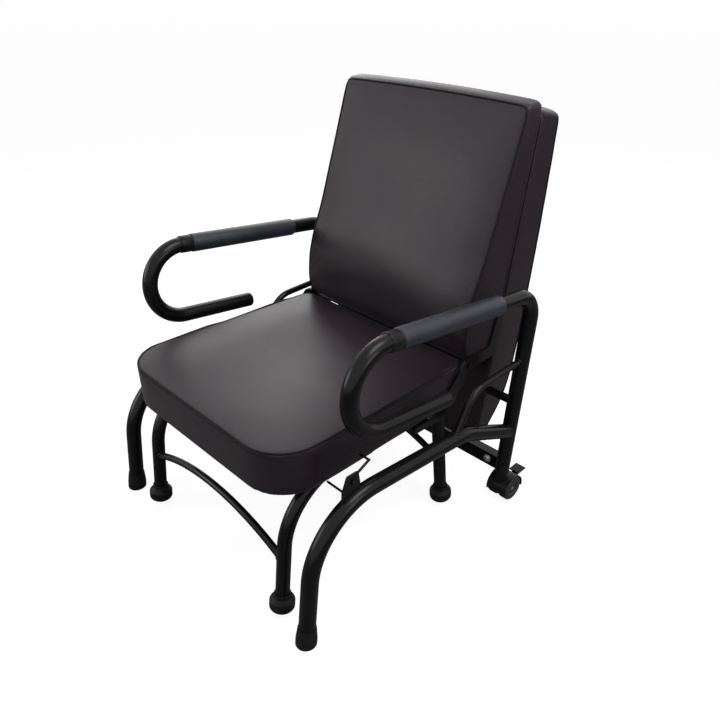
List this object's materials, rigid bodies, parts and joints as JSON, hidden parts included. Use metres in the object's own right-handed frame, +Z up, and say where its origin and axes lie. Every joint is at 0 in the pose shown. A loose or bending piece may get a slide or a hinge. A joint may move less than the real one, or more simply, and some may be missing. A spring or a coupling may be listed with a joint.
{
  "type": "pull-out attendant chair",
  "caption": "Steel-tube hospital visitor chair with hooked armrests and padded seat and double back, which rolls out and unfolds into a bed for an attendant.",
  "frame": {"origin": "on the floor under the middle of the chair's box, at rest as a chair", "axes": "+Z up, -Y the way the sitter faces, +X to the sitter's left"},
  "size_m": [0.7346, 0.8322, 0.9249],
  "materials": {
    "frame_coat": "satin",
    "upholstery": "satin",
    "board": "matte",
    "sleeve_foam": "matte",
    "black_plastic": "satin",
    "black_rubber": "matte",
    "wheel_tread": "satin",
    "zinc": "satin"
  },
  "bodies": {
    "outer_frame": {"left_side_hoop": "frame_coat", "left_arm_sleeve": "sleeve_foam", "left_hook_plug": "black_plastic", "left_side_rail": "frame_coat", "left_front_foot": "black_rubber", "left_curved_brace": "frame_coat", "left_catch_lug": "frame_coat", "left_pivot_bracket": "frame_coat", "left_caster_socket": "black_plastic", "right_side_hoop": "frame_coat", "right_arm_sleeve": "sleeve_foam", "right_hook_plug": "black_plastic", "right_side_rail": "frame_coat", "right_front_foot": "black_rubber", "right_curved_brace": "frame_coat", "right_catch_lug": "frame_coat", "right_pivot_bracket": "frame_coat", "right_caster_socket": "black_plastic", "rear_crossbar": "frame_coat", "crossbar_bolts": "zinc", "catch_bolts": "zinc", "rear_back_pivot_pins": "zinc"},
    "seat_frame": {"left_seat_rail": "frame_coat", "left_seat_hinge_plate": "frame_coat", "right_seat_rail": "frame_coat", "right_seat_hinge_plate": "frame_coat", "front_left_ball_foot": "black_rubber", "front_right_ball_foot": "black_rubber", "rear_left_ball_foot": "black_rubber", "rear_right_ball_foot": "black_rubber", "front_arch": "frame_coat", "rear_arch": "frame_coat", "front_bearer": "frame_coat", "rear_bearer": "frame_coat", "seat_board": "board", "seat_cushion": "upholstery", "seat_hinge_pins": "zinc"},
    "front_back": {"front_back_board": "board", "front_back_cushion": "upholstery", "left_back_ear": "frame_coat", "right_back_ear": "frame_coat", "fold_hinge_front_leaves": "frame_coat", "fold_hinge_pins": "zinc"},
    "rear_back": {"rear_back_board": "board", "rear_back_cushion": "upholstery", "fold_hinge_rear_leaves": "frame_coat"},
    "left_caster": {"left_caster_stem": "zinc", "left_caster_hood": "black_plastic"},
    "left_caster_wheels": {"left_caster_axle": "zinc", "left_caster_outer_wheel": "wheel_tread", "left_caster_inner_wheel": "wheel_tread"},
    "left_brake": {"left_brake_pedal": "black_plastic"},
    "left_catch": {"left_wire_catch": "frame_coat"},
    "right_caster": {"right_caster_stem": "zinc", "right_caster_hood": "black_plastic"},
    "right_caster_wheels": {"right_caster_axle": "zinc", "right_caster_outer_wheel": "wheel_tread", "right_caster_inner_wheel": "wheel_tread"},
    "right_brake": {"right_brake_pedal": "black_plastic"},
    "right_catch": {"right_wire_catch": "frame_coat"}
  },
  "joints": [
    {"name": "seat_pull", "type": "slide", "parent": "outer_frame", "child": "seat_frame", "axis": [0, -1, 0], "range_m": [0, 1.107]},
    {"name": "front_back_recline", "type": "hinge", "parent": "seat_frame", "child": "front_back", "pos_m": [0, 0.15282, 0.39], "axis": [-1, 0, 0], "range_deg": [0, 80.5]},
    {"name": "rear_back_unfold", "type": "hinge", "parent": "front_back", "child": "rear_back", "pos_m": [0, 0.34086, 0.91993], "axis": [1, 0, 0], "range_deg": [0, 180]},
    {"name": "left_caster_swivel", "type": "hinge", "parent": "outer_frame", "child": "left_caster", "pos_m": [0.339, 0.23682, 0.06], "axis": [0, 0, 1], "continuous": true},
    {"name": "left_caster_roll", "type": "hinge", "parent": "left_caster", "child": "left_caster_wheels", "pos_m": [0.339, 0.25482, 0.032], "axis": [1, 0, 0], "continuous": true},
    {"name": "left_brake_press", "type": "hinge", "parent": "left_caster", "child": "left_brake", "pos_m": [0.339, 0.29981, 0.04156], "axis": [-1, 0, 0], "range_deg": [0, 18]},
    {"name": "left_catch_lift", "type": "hinge", "parent": "outer_frame", "child": "left_catch", "pos_m": [0.334, -0.26318, 0.334], "axis": [-1, 0, 0], "range_deg": [0, 35]},
    {"name": "right_caster_swivel", "type": "hinge", "parent": "outer_frame", "child": "right_caster", "pos_m": [-0.339, 0.23682, 0.06], "axis": [0, 0, 1], "continuous": true},
    {"name": "right_caster_roll", "type": "hinge", "parent": "right_caster", "child": "right_caster_wheels", "pos_m": [-0.339, 0.25482, 0.032], "axis": [1, 0, 0], "continuous": true},
    {"name": "right_brake_press", "type": "hinge", "parent": "right_caster", "child": "right_brake", "pos_m": [-0.339, 0.29981, 0.04156], "axis": [-1, 0, 0], "range_deg": [0, 18]},
    {"name": "right_catch_lift", "type": "hinge", "parent": "outer_frame", "child": "right_catch", "pos_m": [-0.334, -0.26318, 0.334], "axis": [-1, 0, 0], "range_deg": [0, 35]}
  ],
  "couplings": [
    {"joint": "front_back_recline", "follows": "seat_pull", "rad_per_m": 1.2687},
    {"joint": "rear_back_unfold", "follows": "seat_pull", "rad_per_m": 2.8369}
  ]
}
